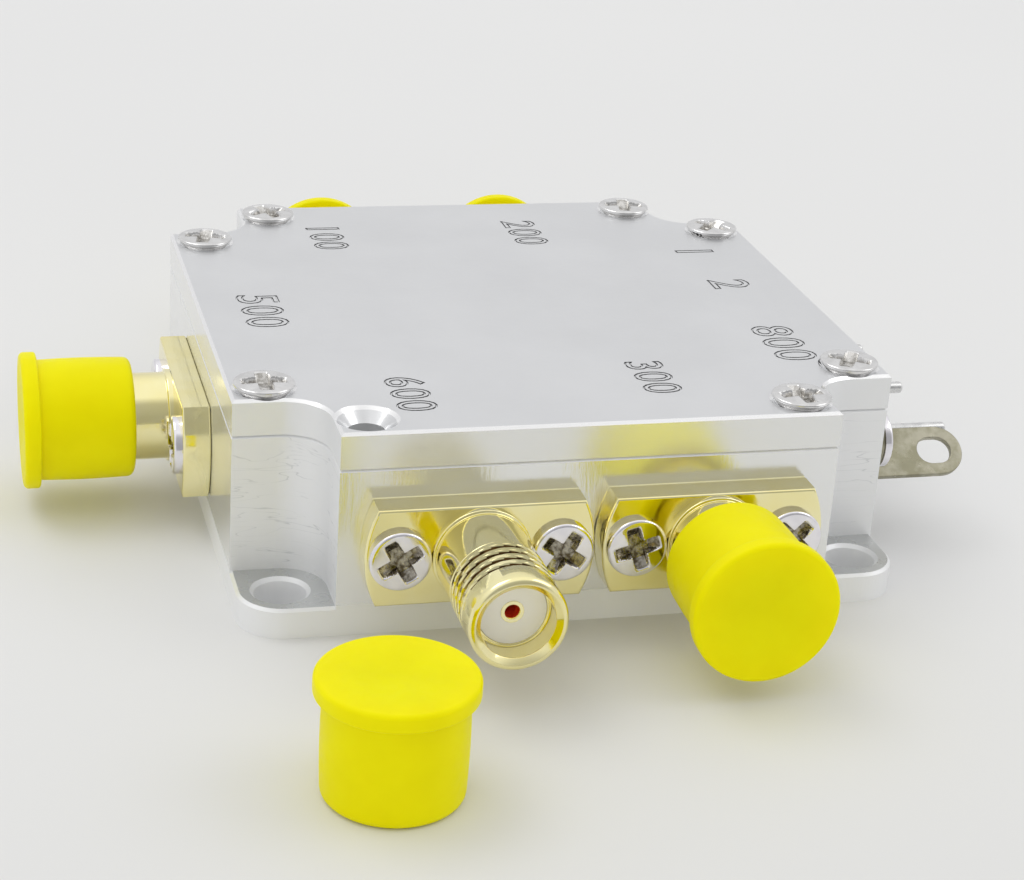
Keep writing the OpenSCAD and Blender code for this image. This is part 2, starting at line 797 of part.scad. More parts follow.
module copper_tracks() {
    color("goldenrod") {
        for (x = [0, 1], y = [0, 1]) mirror([x, 0, 0]) mirror([0, y, 0]) side_track();
        copper_box(-board_a, -track_w / 2, -block_cap_at - track_gap / 2, track_w / 2);
        copper_box(-block_cap_at + track_gap / 2, -track_w / 2, -track_end, track_w / 2);
        copper_box(-chip_pad, -chip_pad, chip_pad, chip_pad);
        for (k = FEEDS)
            translate([0, feed_at(k), 0])
                copper_box(board_a - feed_pad_l, -feed_pad_w / 2, board_a, feed_pad_w / 2);
    }
}

// A ridge of solder round a pin along X, from the copper to somewhat above the pin's axis
module solder_ridge(l, w, pin_r, pin_z) {
    top = pin_z + pin_r * solder_rise;
    difference() {
        translate([0, -w / 2, copper_z]) cube([l, w, top - copper_z]);
        translate([-eps, 0, pin_z]) rotate([0, 90, 0]) cylinder(r = pin_r, h = l + 2 * eps);
        for (s = [-1, 1])
            translate([-eps, s * w / 2, top + eps])
                rotate([0, 90, 0]) cylinder(r = w / 2 - pin_r, h = l + 2 * eps);
    }
}

module solder_joints() {
    color("gray") {
        for (i = [0:len(PORTS) - 1])
            at_port(i)
                translate([-wall_t - solder_pin_l + solder_end, 0, -jack_z])
                    solder_ridge(jack_solder_l, track_w, solder_pin_d / 2, jack_z);
        for (k = FEEDS)
            translate([board_a - solder_end - feed_solder_l, feed_at(k), 0])
                solder_ridge(feed_solder_l, feed_solder_w, feed_pin_d / 2, feed_z);
    }
}

module switch_chip() {
    color("dimgray")
    translate([-chip_w / 2, -chip_w / 2, copper_z]) cube([chip_w, chip_w, chip_h]);
}

// A chip part at the place p, resting on the height z
module chip_part(p, l, w, h, z) {
    translate([p[0] - l / 2, p[1] - w / 2, z]) cube([l, w, h]);
}

module blocking_capacitor(i) {
    inward = half - block_cap_at;
    color("peru")
    at_port(i)
        translate([0, 0, -jack_z])
            chip_part([-inward, 0], block_cap_l, block_cap_w, block_cap_w, copper_z);
}

module regulator() {
    color("dimgray")
    chip_part([control_x, regulator_y], regulator_w, regulator_l, regulator_h, board_top);
}

module bypass_capacitors() {
    color("peru")
    for (y = BYPASS_Y) chip_part([control_x, y], bypass_l, bypass_w, bypass_w, board_top);
}

module resistors() {
    color("black")
    for (y = RESISTOR_Y) chip_part([control_x, y], resistor_l, resistor_w, resistor_h, board_top);
}

housing();
lid();
lid_screws();
ground_lug();
lug_screw();
circuit_board();
board_screws();
copper_tracks();
solder_joints();
switch_chip();
regulator();
bypass_capacitors();
resistors();
for (i = [0:len(PORTS) - 1]) {
    jack_shell(i);
    jack_insulator(i);
    jack_contact(i);
    jack_screws(i);
    dust_cap(i);
    blocking_capacitor(i);
}
for (k = FEEDS) {
    feedthrough_bush(k);
    feedthrough_seal(k);
    feedthrough_pin(k);
}
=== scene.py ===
# Dresses the coaxial switch module for its picture: metal, caps, screws and numbers in finer
# form, then floor, light and camera. Constants are in millimetres, apart from those that are
# read from the frame or multiplied by MM, which are in metres.
import math

import bmesh
import bpy
from mathutils import Matrix, Vector


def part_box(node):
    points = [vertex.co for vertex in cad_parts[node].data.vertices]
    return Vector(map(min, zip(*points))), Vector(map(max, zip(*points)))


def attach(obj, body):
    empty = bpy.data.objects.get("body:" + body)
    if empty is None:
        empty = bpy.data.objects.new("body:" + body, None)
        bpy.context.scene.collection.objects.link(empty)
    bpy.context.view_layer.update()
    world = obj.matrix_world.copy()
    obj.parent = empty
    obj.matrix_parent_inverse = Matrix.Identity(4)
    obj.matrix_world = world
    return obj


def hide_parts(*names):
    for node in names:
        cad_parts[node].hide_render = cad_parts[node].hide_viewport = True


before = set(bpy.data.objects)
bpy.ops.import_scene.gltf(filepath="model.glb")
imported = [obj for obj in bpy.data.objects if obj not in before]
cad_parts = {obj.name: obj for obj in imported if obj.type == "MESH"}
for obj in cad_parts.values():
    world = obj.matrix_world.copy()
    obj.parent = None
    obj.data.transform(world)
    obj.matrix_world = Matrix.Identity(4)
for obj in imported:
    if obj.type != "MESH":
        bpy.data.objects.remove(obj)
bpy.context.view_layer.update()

MM = 0.001
TURN = 2 * math.pi

# Direction in which each jack faces
PORTS = {"1": (0, 1, 0), "2": (0, 1, 0), "3": (0, -1, 0), "4": (0, -1, 0), "common": (-1, 0, 0)}
FEEDS = ("1", "2", "3")


# Places read from the frame

def middle(node):
    low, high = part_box(node)
    return (Vector(low) + Vector(high)) / 2


def size(node):
    low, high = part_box(node)
    return Vector(high) - Vector(low)


LID_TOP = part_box("lid")[1][2]
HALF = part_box("lid")[1][0]
NOTCH_W = 6.05
EAR_T = 2.1


def facing(place, direction):
    """A frame at place whose Z points along direction and whose Y points up."""
    z = Vector(direction).normalized()
    up = Vector((0, 0, 1)) if abs(z.z) < 0.9 else Vector((0, 1, 0))
    x = up.cross(z).normalized()
    y = z.cross(x)
    return Matrix.Translation(place) @ Matrix((x, y, z)).transposed().to_4x4()


def turned(place, degrees):
    """The same frame, turned about its Z."""
    return place @ Matrix.Rotation(math.radians(degrees), 4, "Z")


def port_place(port):
    """The middle of a jack's mounting face, on the wall of the housing."""
    place = middle("jack_shell_" + port)
    for axis, side in enumerate(PORTS[port]):
        if side:
            place[axis] = side * HALF
    return place


# Objects and meshes

def linked(name, data):
    """A new object in the scene."""
    obj = bpy.data.objects.new(name, data)
    bpy.context.scene.collection.objects.link(obj)
    return obj


def piece(name, mesh, body, place):
    """An object at a place, riding on a body of the model."""
    obj = linked(name, mesh)
    obj.matrix_world = place
    bpy.context.view_layer.update()
    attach(obj, body)
    return obj


def weighted(obj):
    """Keeps large flat faces flat beside their rounded edges."""
    modifier = obj.modifiers.new("flat_faces", "WEIGHTED_NORMAL")
    modifier.keep_sharp = True
    modifier.weight = 100
    return obj


def new_mesh(name, verts, faces, *materials):
    mesh = bpy.data.meshes.new(name)
    mesh.from_pydata(verts, [], faces)
    for material in materials:
        mesh.materials.append(material)
    return mesh


def ready(mesh, angle=35):
    """Merges, orients and smooths a mesh; edges that bend by more than angle stay sharp."""
    work = bmesh.new()
    work.from_mesh(mesh)
    bmesh.ops.remove_doubles(work, verts=work.verts, dist=1e-8)
    bmesh.ops.recalc_face_normals(work, faces=work.faces)
    limit = math.radians(angle)
    for face in work.faces:
        face.smooth = True
    for edge in work.edges:
        if len(edge.link_faces) == 2 and edge.calc_face_angle(0) > limit:
            edge.smooth = False
    work.to_mesh(mesh)
    work.free()
    return mesh


def arc(centre, radius, start, end, steps):
    points = []
    for i in range(steps + 1):
        a = math.radians(start + (end - start) * i / steps)
        points.append((centre[0] + radius * math.cos(a), centre[1] + radius * math.sin(a)))
    return points


def fillet(points, steps=4):
    """A polyline of (r, z) or (r, z, radius) whose corners with a radius become arcs."""
    out = [points[0][:2]]
    for i in range(1, len(points) - 1):
        p = points[i]
        radius = p[2] if len(p) > 2 else 0
        here = Vector(p[:2])
        if not radius:
            out.append(tuple(here))
            continue
        a = (Vector(points[i - 1][:2]) - here).normalized()
        b = (Vector(points[i + 1][:2]) - here).normalized()
        half_angle = a.angle(b) / 2
        reach = radius / math.tan(half_angle)
        centre = here + (a + b).normalized() * (radius / math.sin(half_angle))
        first = here + a * reach - centre
        last = here + b * reach - centre
        sweep = first.angle_signed(last)
        for k in range(steps + 1):
            spoke = first.copy()
            spoke.rotate(Matrix.Rotation(-sweep * k / steps, 2))
            out.append(tuple(centre + spoke))
    out.append(points[-1][:2])
    return out


def lathe(profile, steps, shape=None):
    """Verts and faces of a profile of (r, z) turned round Z. shape(r, z, angle) may change r."""
    verts, faces, rings = [], [], []
    for r, z in profile:
        if r < 1e-9:
            rings.append([len(verts)] * steps)
            verts.append((0, 0, z))
            continue
        rings.append(list(range(len(verts), len(verts) + steps)))
        for k in range(steps):
            a = TURN * k / steps
            rr = shape(r, z, a) if shape else r
            verts.append((rr * math.cos(a), rr * math.sin(a), z))
    for low, high in zip(rings, rings[1:]):
        for k in range(steps):
            n = (k + 1) % steps
            face = []
            for v in (low[k], low[n], high[n], high[k]):
                if v not in face:
                    face.append(v)
            if len(face) > 2:
                faces.append(face)
    return verts, faces


def scaled(points):
    return [tuple(v * MM for v in p) for p in points]


def merged(*parts):
    verts, faces = [], []
    for v, f in parts:
        faces += [[i + len(verts) for i in face] for face in f]
        verts += v
    return verts, faces


# Materials, each with its own node tree in the object's coordinates

MAP_RANGE = ("From Min", "From Max", "To Min", "To Max")


class Shader:
    """A principled material and short calls for its nodes."""

    def __init__(self, name, metallic=0.0):
        self.material = bpy.data.materials.new(name)
        self.material.use_nodes = True
        self.tree = self.material.node_tree
        self.tree.nodes.clear()
        self.bsdf = self.add("ShaderNodeBsdfPrincipled")
        out = self.add("ShaderNodeOutputMaterial")
        self.feed(out.inputs["Surface"], self.bsdf.outputs[0])
        self.set("Metallic", metallic)
        self.coords = self.add("ShaderNodeTexCoord")
        self.normal = None

    def add(self, kind, **settings):
        node = self.tree.nodes.new(kind)
        for name, value in settings.items():
            setattr(node, name, value)
        return node

    def feed(self, socket, value):
        """Links the socket where value is another node's output, or else gives it that value."""
        if isinstance(value, bpy.types.NodeSocket):
            self.tree.links.new(value, socket)
        else:
            socket.default_value = value

    def set(self, socket, value):
        self.feed(self.bsdf.inputs[socket], value)

    def mapped(self, scale):
        mapping = self.add("ShaderNodeMapping")
        self.feed(mapping.inputs["Vector"], self.coords.outputs["Object"])
        mapping.inputs["Scale"].default_value = scale
        return mapping.outputs[0]

    def noise(self, scale, detail=3.0, roughness=0.5, distortion=0.0):
        """Noise with cells of about 1 mm at a scale of 1, given once or for each axis."""
        if not isinstance(scale, tuple):
            scale = (scale,) * 3
        node = self.add("ShaderNodeTexNoise")
        self.feed(node.inputs["Vector"], self.mapped(tuple(s / MM for s in scale)))
        node.inputs["Scale"].default_value = 1
        node.inputs["Detail"].default_value = detail
        node.inputs["Roughness"].default_value = roughness
        node.inputs["Distortion"].default_value = distortion
        return node.outputs["Fac"]

    def span(self, value, low, high, start=0.35, end=0.65):
        """value from start..end to low..high, held at both ends."""
        node = self.add("ShaderNodeMapRange")
        self.feed(node.inputs["Value"], value)
        for socket, number in zip(MAP_RANGE, (start, end, low, high)):
            node.inputs[socket].default_value = number
        return node.outputs[0]

    def math(self, operation, a, b=0.0):
        node = self.add("ShaderNodeMath", operation=operation)
        self.feed(node.inputs[0], a)
        self.feed(node.inputs[1], b)
        return node.outputs[0]

    def plus(self, a, b):
        return self.math("ADD", a, b)

    def times(self, a, b):
        return self.math("MULTIPLY", a, b)

    def mix(self, factor, a, b):
        node = self.add("ShaderNodeMix", data_type="RGBA")
        self.feed(node.inputs[0], factor)
        for socket, value in zip((node.inputs[6], node.inputs[7]), (a, b)):
            self.feed(socket, (*value, 1) if isinstance(value, tuple) else value)
        return node.outputs[2]

    def bump(self, height, depth):
        """Adds relief of that depth in millimetres."""
        node = self.add("ShaderNodeBump")
        node.inputs["Strength"].default_value = 1
        node.inputs["Distance"].default_value = depth * MM
        self.feed(node.inputs["Height"], height)
        if self.normal:
            self.feed(node.inputs["Normal"], self.normal)
        self.normal = node.outputs[0]
        self.set("Normal", self.normal)

    def place(self, axis):
        """The object's coordinate along an axis, in millimetres."""
        split = self.add("ShaderNodeSeparateXYZ")
        self.feed(split.inputs[0], self.mapped((1 / MM,) * 3))
        return split.outputs[axis]

    def up_or_down(self):
        """1 on level faces of the object, 0 on upright ones, between them on slopes."""
        split = self.add("ShaderNodeSeparateXYZ")
        self.feed(split.inputs[0], self.coords.outputs["Normal"])
        return self.math("ABSOLUTE", split.outputs[2])

    def flat(self, level):
        """1 on level faces, 0 on all others, from what up_or_down gives."""
        return self.span(level, 0, 1, 0.9, 0.98)

    def upright(self, level):
        """1 on upright faces, 0 on all others."""
        return self.span(level, 1, 0, 0.2, 0.4)

    def slope(self, level):
        """1 on the bevels, 0 on level and on upright faces."""
        return self.times(self.span(level, 0, 1, 0.3, 0.5), self.span(level, 1, 0, 0.85, 0.95))

    def in_notch(self, level):
        """1 on the walls of the four notches, above the ears, 0 elsewhere."""
        edge = HALF / MM - NOTCH_W - 0.1
        found = self.math("GREATER_THAN", self.place(2), EAR_T + 0.01)
        for axis in (0, 1):
            far = self.math("ABSOLUTE", self.place(axis))
            found = self.times(found, self.math("GREATER_THAN", far, edge))
            found = self.times(found, self.math("LESS_THAN", far, HALF / MM - 0.02))
        return self.times(found, self.upright(level))


def lid_metal():
    """Satin on top, with fine level lines on the sides and a painted highlight on the bevel between
    them.
    """
    s = Shader("lid_satin")
    level = s.up_or_down()
    flat, side, notch = s.flat(level), s.upright(level), s.in_notch(level)
    s.bump(s.times(s.noise(7, 4, 0.6), flat), 0.003)
    s.bump(s.times(s.noise((0.1, 0.1, 8), 4, 0.65), side), 0.005)
    cloud = s.span(s.noise(0.12), 0, 1)
    tone = s.mix(cloud, (0.75, 0.755, 0.765), (0.785, 0.79, 0.80))
    tone = s.mix(side, tone, (0.84, 0.845, 0.85))
    # Painted highlight: the top bevel is coloured near white so it shows as a bright line.
    upper = s.span(s.place(2), 0, 1, LID_TOP / MM - 0.25, LID_TOP / MM - 0.2)
    bevel = s.times(s.slope(level), upper)
    s.set("Base Color", s.mix(bevel, tone, (0.99, 0.99, 0.99)))
    dull = s.plus(s.times(side, 0.38), s.times(notch, 0.2))
    s.set("Metallic", s.math("SUBTRACT", 1, dull))
    rough = s.plus(s.plus(s.times(flat, 0.14), 0.21), s.times(notch, 0.2))
    s.set("Roughness", s.plus(rough, s.span(s.noise(2), -0.03, 0.03)))
    return s.material


def milled_metal():
    """Bright walls with upright streaks, and duller notches with the tracks of the cutter."""
    s = Shader("milled_bright")
    level = s.up_or_down()
    flat, bevel, notch = s.flat(level), s.slope(level), s.in_notch(level)
    outer = s.math("SUBTRACT", s.upright(level), notch)
    low = s.times(outer, s.span(s.place(2), 1, 0, EAR_T - 0.05, EAR_T + 0.25))
    s.bump(s.times(s.noise((4.5, 4.5, 0.5), 4, 0.65), outer), 0.012)
    s.bump(s.times(s.noise((0.12, 0.12, 3.2), 4, 0.75, 0.3), notch), 0.02)
    s.bump(s.times(s.noise((3, 0.2, 3)), flat), 0.004)
    swirl = s.math("SUBTRACT", s.noise((0.16, 0.16, 1.1), 2, 0.5, 0.6), 0.5)
    scratch = s.span(s.math("ABSOLUTE", swirl), 1, 0, 0.003, 0.01)
    where = s.span(s.noise((0.5, 0.5, 0.8)), 0, 1, 0.42, 0.58)
    marked = s.times(s.times(scratch, where), notch)
    tone = s.mix(flat, (0.86, 0.865, 0.87), (0.66, 0.67, 0.665))
    s.set("Base Color", s.mix(marked, tone, (0.7, 0.71, 0.72)))
    dull = s.times(low, 0.8)
    for mask, share in ((notch, 0.55), (bevel, 0.5), (outer, 0.22)):
        dull = s.math("MAXIMUM", dull, s.times(mask, share))
    s.set("Metallic", s.math("SUBTRACT", 1, dull))
    rough = s.plus(s.span(s.noise(0.5), 0.13, 0.19), s.times(notch, 0.26))
    rough = s.plus(rough, s.times(s.math("MAXIMUM", low, bevel), 0.3))
    s.set("Roughness", s.plus(rough, s.times(flat, 0.12)))
    return s.material


def groove_metal():
    """The walls of an engraved line, rough, and painted nearly black for the shade inside the cut.
    """
    s = Shader("engraving", 0.6)
    patch = s.span(s.noise(4), 0, 1)
    # Painted shade: the dark colours stand in for the shade in the engraved groove.
    s.set("Base Color", s.mix(patch, (0.02, 0.02, 0.022), (0.16, 0.16, 0.165)))
    s.set("Roughness", s.span(s.noise(6), 0.4, 0.7))
    return s.material


def gold():
    """Thin polished gold with faint cloudy patches."""
    s = Shader("pale_gold", 1.0)
    s.bump(s.noise(5, 2), 0.0012)
    cloud = s.span(s.noise(0.35), 0, 1)
    s.set("Base Color", s.mix(cloud, (0.965, 0.875, 0.44), (0.98, 0.91, 0.53)))
    s.set("Roughness", s.span(s.noise(1.2, 4), 0.07, 0.14))
    return s.material


def root_gold():
    """The bottom of the thread, painted darker for the shade in the groove, and painted brown
    towards its upper left for the dark room its flanks reflect there.
    """
    s = Shader("thread_root_painted_shade", 1.0)
    left = s.times(s.place(0), -0.11)
    up = s.times(s.place(1), 0.3)
    # Painted reflection: the upper left of the thread is browned where its flanks would mirror the
    # dark room.
    upper_left = s.span(s.plus(left, up), 0, 1, 0.58, 0.78)
    mottle = s.span(s.noise(2), 0, 1)
    # Painted shade: the pale mix is darker than the gold of the shell; the brown mix is the painted
    # dark reflection.
    pale = s.mix(mottle, (0.62, 0.49, 0.18), (0.80, 0.68, 0.30))
    brown = s.mix(mottle, (0.05, 0.025, 0.008), (0.16, 0.09, 0.03))
    s.set("Base Color", s.mix(upper_left, pale, brown))
    s.bump(s.noise(9, 2), 0.003)
    s.set("Roughness", s.span(s.noise(3), 0.25, 0.4))
    return s.material


def socket_gold():
    """The bore of a contact, painted red for the light that the gold reflects back and forth inside
    it.
    """
    s = Shader("socket_bore")
    # Painted reflection: the red stands in for light bounced round inside the gold bore.
    s.set("Base Color", s.mix(s.span(s.noise(3), 0, 1), (0.62, 0.03, 0.012), (0.85, 0.09, 0.03)))
    s.bump(s.noise(9, 2), 0.004)
    s.set("Roughness", 0.4)
    return s.material


def nickel(name, dark, light):
    s = Shader(name, 1.0)
    s.bump(s.noise(9, 2), 0.001)
    s.set("Base Color", s.mix(s.span(s.noise(1.3), 0, 1), dark, light))
    s.set("Roughness", s.span(s.noise(2.5, 4), 0.06, 0.14))
    return s.material


def recess_metal(name, dark, light):
    """The inside of a cross recess, punched, painted darker for the shade inside it, with a mottled
    tone.
    """
    s = Shader(name, 1.0)
    mottle = s.span(s.noise(2.2, 4, 0.6), 0, 1, 0.4, 0.6)
    # Painted shade: the dark end of the mix stands in for the shade deep in the recess.
    s.set("Base Color", s.mix(mottle, dark, light))
    s.bump(s.noise(7), 0.012)
    s.set("Roughness", s.span(s.noise(5), 0.12, 0.3))
    return s.material


def cap_plastic():
    s = Shader("yellow_polyethylene")
    s.set("Subsurface Weight", 0.4)
    s.set("Subsurface Radius", (1.0, 0.85, 0.05))
    s.set("Subsurface Scale", 1.2 * MM)
    s.set("IOR", 1.4)
    s.set("Specular IOR Level", 0.1)
    s.bump(s.noise(3.5, 4, 0.6), 0.004)
    s.set("Base Color", s.mix(s.span(s.noise(0.25), 0, 1), (0.86, 0.775, 0.0), (0.90, 0.82, 0.001)))
    s.set("Roughness", s.span(s.noise(1.5), 0.36, 0.5))
    return s.material


def white_insulator():
    s = Shader("white_fluoropolymer")
    s.set("Subsurface Weight", 0.2)
    s.set("Subsurface Radius", (0.6, 0.6, 0.5))
    s.set("Subsurface Scale", 0.5 * MM)
    s.bump(s.noise(8), 0.002)
    s.set("Base Color", s.mix(s.noise(0.8), (0.90, 0.885, 0.85), (0.95, 0.94, 0.92)))
    s.set("Roughness", 0.4)
    return s.material


def tin_over_brass():
    s = Shader("dull_tin", 1.0)
    mottle = s.span(s.noise(0.5, 5, 0.65), 0, 1, 0.42, 0.6)
    s.set("Base Color", s.mix(mottle, (0.30, 0.285, 0.20), (0.43, 0.41, 0.32)))
    s.bump(s.noise((1.2, 1.2, 9), 4, 0.6), 0.006)
    s.set("Roughness", s.span(s.noise(1.5, 4), 0.26, 0.46))
    return s.material


def plain_metal(name, dark, light, roughness, grain=4.0):
    s = Shader(name, 1.0)
    s.set("Base Color", s.mix(s.span(s.noise(0.8, 4), 0, 1), dark, light))
    s.bump(s.noise(grain), 0.003)
    s.set("Roughness", s.span(s.noise(1.6), roughness * 0.8, roughness * 1.3))
    return s.material


def plain_solid(name, dark, light, roughness, grain, depth=0.01):
    s = Shader(name)
    s.set("Base Color", s.mix(s.span(s.noise(0.8, 4), 0, 1), dark, light))
    s.bump(s.noise(grain, 4), depth)
    s.set("Roughness", s.span(s.noise(1.6), roughness * 0.85, roughness * 1.2))
    return s.material


LID = lid_metal()
MILLED = milled_metal()
GROOVE = groove_metal()
GOLD = gold()
ROOT = root_gold()
SOCKET = socket_gold()
NICKEL = nickel("bright_nickel", (0.83, 0.81, 0.85), (0.91, 0.89, 0.92))
# The recess materials are painted darker for the shade inside the cross.
RECESS = recess_metal("punched_recess", (0.10, 0.08, 0.05), (0.46, 0.43, 0.37))
GREY_NICKEL = nickel("grey_nickel", (0.68, 0.675, 0.67), (0.80, 0.795, 0.79))
GREY_RECESS = recess_metal("pale_recess", (0.38, 0.365, 0.34), (0.72, 0.705, 0.68))
CAP = cap_plastic()
WHITE = white_insulator()
TIN = tin_over_brass()
BUSH = plain_metal("bush_nickel", (0.66, 0.65, 0.62), (0.80, 0.79, 0.76), 0.2)
PIN = plain_metal("pin_tin", (0.60, 0.60, 0.60), (0.76, 0.76, 0.75), 0.28)
SOLDER = plain_metal("solder", (0.55, 0.55, 0.56), (0.72, 0.72, 0.73), 0.22, 2.0)
COPPER = plain_metal("board_gold", (0.78, 0.62, 0.30), (0.88, 0.73, 0.42), 0.3)
SEAL = plain_solid("glass_seal", (0.62, 0.66, 0.62), (0.80, 0.83, 0.79), 0.12, 2.0, 0.004)
BOARD = plain_solid("solder_mask", (0.015, 0.11, 0.045), (0.03, 0.17, 0.07), 0.3, 1.5)
CHIP = plain_solid("moulded_epoxy", (0.012, 0.012, 0.013), (0.03, 0.03, 0.032), 0.5, 9.0)
CAPACITOR = plain_solid("chip_ceramic", (0.34, 0.23, 0.14), (0.50, 0.36, 0.24), 0.45, 6.0)
RESISTOR = plain_solid("resistor_glaze", (0.01, 0.01, 0.012), (0.03, 0.03, 0.035), 0.2, 3.0)


# Jack shells: a flange, and a barrel with a helical thread

JACK_L = size("jack_shell_4").y
FLANGE_R = size("jack_shell_4").x / 2
FLANGE_HALF_H = size("jack_shell_4").z / 2
FLANGE_T = 1.95 * MM
FLANGE_EDGE = 0.18 * MM
COLLAR_R = 3.31
COLLAR_T = 0.42
NECK_R = 3.125
THREAD_R = 3.175
THREAD_START = 6.55
THREAD_END = 9.95
THREAD_STEP = 0.035
THREAD_PITCH = 0.85
THREAD_DEPTH = 0.38
THREAD_FLAT = 0.1
THREAD_FLANK = 0.5
THREAD_ROOT_DEPTH = 0.1
THREAD_RUN_OUT = 0.3
MOUTH_R = 2.75
BORE_R = 2.375
HOLE_R = 2.22
HOLE_FROM = 2
BORE_FLOOR = 9.95
LEAD_IN = 0.35


def flange():
    """A plate with two straight sides and two round ends, its front and back edges rounded."""
    steps = 20
    turns = [math.pi / 2 * k / 4 for k in range(5)]
    levels = [(FLANGE_EDGE * (1 - math.sin(a)), FLANGE_EDGE * (1 - math.cos(a))) for a in turns]
    levels.append((0, FLANGE_T - FLANGE_EDGE))
    levels += [(FLANGE_EDGE * (1 - math.cos(a)), FLANGE_T - FLANGE_EDGE * (1 - math.sin(a)))
               for a in turns[1:]]
    verts, faces = [], []
    count = 2 * (steps + 1)
    for inset, z in levels:
        r, h = FLANGE_R - inset, FLANGE_HALF_H - inset
        reach = math.asin(h / r)
        for side in (0, math.pi):
            for k in range(steps + 1):
                a = side - reach + 2 * reach * k / steps
                verts.append((r * math.cos(a), r * math.sin(a), z))
    for level in range(len(levels) - 1):
        low, high = level * count, (level + 1) * count
        for k in range(count):
            n = (k + 1) % count
            faces.append((low + k, low + n, high + n, high + k))
    faces.append(tuple(reversed(range(count))))
    faces.append(tuple(range((len(levels) - 1) * count, len(levels) * count)))
    return verts, faces


def thread_radius(r, z, angle):
    """The radius of the threaded stretch: a V groove that winds once round in one pitch."""
    if r < NECK_R * MM:
        return r
    z = z / MM
    if not THREAD_START < z < THREAD_END:
        return r
    turn = ((z - THREAD_START) / THREAD_PITCH - angle / TURN) % 1
    across = abs(turn - 0.5) * 2
    flank = min(max((across - THREAD_FLAT) / THREAD_FLANK, 0), 1)
    ease = min((z - THREAD_START) / THREAD_RUN_OUT, (THREAD_END - z) / THREAD_RUN_OUT, 1)
    return r - THREAD_DEPTH * MM * (1 - flank) * ease


def barrel():
    """Collar, neck, thread and nose from outside, then the mouth and the bore."""
    root = FLANGE_T / MM
    neck = fillet([
        (COLLAR_R, root), (COLLAR_R, root + COLLAR_T, 0.1), (NECK_R, root + COLLAR_T, 0.06),
        (NECK_R, THREAD_START - 0.1)
    ])
    rings = int((THREAD_END - THREAD_START) / THREAD_STEP)
    thread = [
        (THREAD_R, THREAD_START + (THREAD_END - THREAD_START) * k / rings)
        for k in range(rings + 1)
    ]
    length = JACK_L / MM
    nose = fillet([
        (THREAD_R, THREAD_END), (THREAD_R, length, 0.4), (MOUTH_R + 0.02, length, 0.05),
        (BORE_R, length - LEAD_IN, 0.1), (BORE_R, BORE_FLOOR, 0.04), (HOLE_R, BORE_FLOOR, 0.04),
        (HOLE_R, HOLE_FROM)
    ], 5)
    return lathe(scaled(neck + thread + nose[1:]), 144, thread_radius)


def jack_mesh():
    """One shell; the faces at the bottom of its thread take the second material, which paints shade
    and dark reflection there.
    """
    mesh = new_mesh("jack_shell", *merged(flange(), barrel()), GOLD, ROOT)
    deep = (THREAD_R - THREAD_ROOT_DEPTH) * MM
    kinds = []
    for polygon in mesh.polygons:
        c = polygon.center
        threaded = THREAD_START * MM < c.z < THREAD_END * MM
        kinds.append(int(threaded and BORE_R * MM < math.hypot(c.x, c.y) < deep))
    mesh.polygons.foreach_set("material_index", kinds)
    return mesh


# Contacts

CONTACT_R = 0.635
CONTACT_RIM_R = 0.74
CONTACT_HOLE_R = 0.45
CONTACT_PIN_R = 0.4
CONTACT_RISE = 0.04
SOCKET_FLOOR = 6.95
CONTACT_BACK = -4.8
CONTACT_END = -7.0


def contact_mesh():
    """Turned, with a rim round its socket; the faces inside the socket take the second material,
    painted red for reflected light.
    """
    top = BORE_FLOOR + CONTACT_RISE
    profile = fillet([
        (0, CONTACT_END), (CONTACT_PIN_R, CONTACT_END, 0.1), (CONTACT_PIN_R, CONTACT_BACK),
        (CONTACT_R, CONTACT_BACK), (CONTACT_R, BORE_FLOOR + 0.01),
        (CONTACT_RIM_R, BORE_FLOOR + 0.01, 0.01), (CONTACT_RIM_R, top, 0.02),
        (CONTACT_HOLE_R + 0.06, top, 0.02), (CONTACT_HOLE_R, top - 0.08, 0.03),
        (CONTACT_HOLE_R - 0.03, SOCKET_FLOOR), (0, SOCKET_FLOOR)
    ])
    mesh = new_mesh("contact", *lathe(scaled(profile), 48), GOLD, SOCKET)
    kinds = []
    for polygon in mesh.polygons:
        c = polygon.center
        inside = math.hypot(c.x, c.y) < (CONTACT_HOLE_R + 0.005) * MM
        kinds.append(int(inside and c.z > SOCKET_FLOOR * MM * 0.99))
    mesh.polygons.foreach_set("material_index", kinds)
    return mesh


# Screws: a head whose top is a field of heights, with the cross recess pressed in

HEAD_R = 2.05
SHANK_R = 1.0
SHANK_TIP = 0.2
RECESS_REACH = 1.6
RECESS_HALF_W = 0.53
RECESS_TAPER = 0.05
RECESS_DEPTH = 0.6
RECESS_RAMP = 0.75
RECESS_WALL = 0.11
RECESS_SEEN = 0.06
PAN_RISE = 0.65
PAN_EDGE = 0.22
PAN_CROWN = 0.06
JACK_SCREW_L = 5.9
LUG_SCREW_L = 4.2
LID_SCREW_L = 4.5
LID_SCREW_RISE = size("lid_screws").z / MM - LID_SCREW_L
LID_SCREW_EDGE = 0.14
LID_SCREW_CROWN = 0.15


def smooth(x):
    x = min(max(x, 0), 1)
    return x * x * (3 - 2 * x)


def recess(x, y):
    """Depth of the cross at a place on the head, in millimetres."""
    depth = 0
    for u, v in ((abs(x), abs(y)), (abs(y), abs(x))):
        half_w = RECESS_HALF_W - RECESS_TAPER * u / RECESS_REACH
        end = min(max((RECESS_REACH - u) / RECESS_RAMP, 0), 1)
        wall = smooth((half_w - v) / RECESS_WALL)
        depth = max(depth, RECESS_DEPTH * end * wall)
    return depth


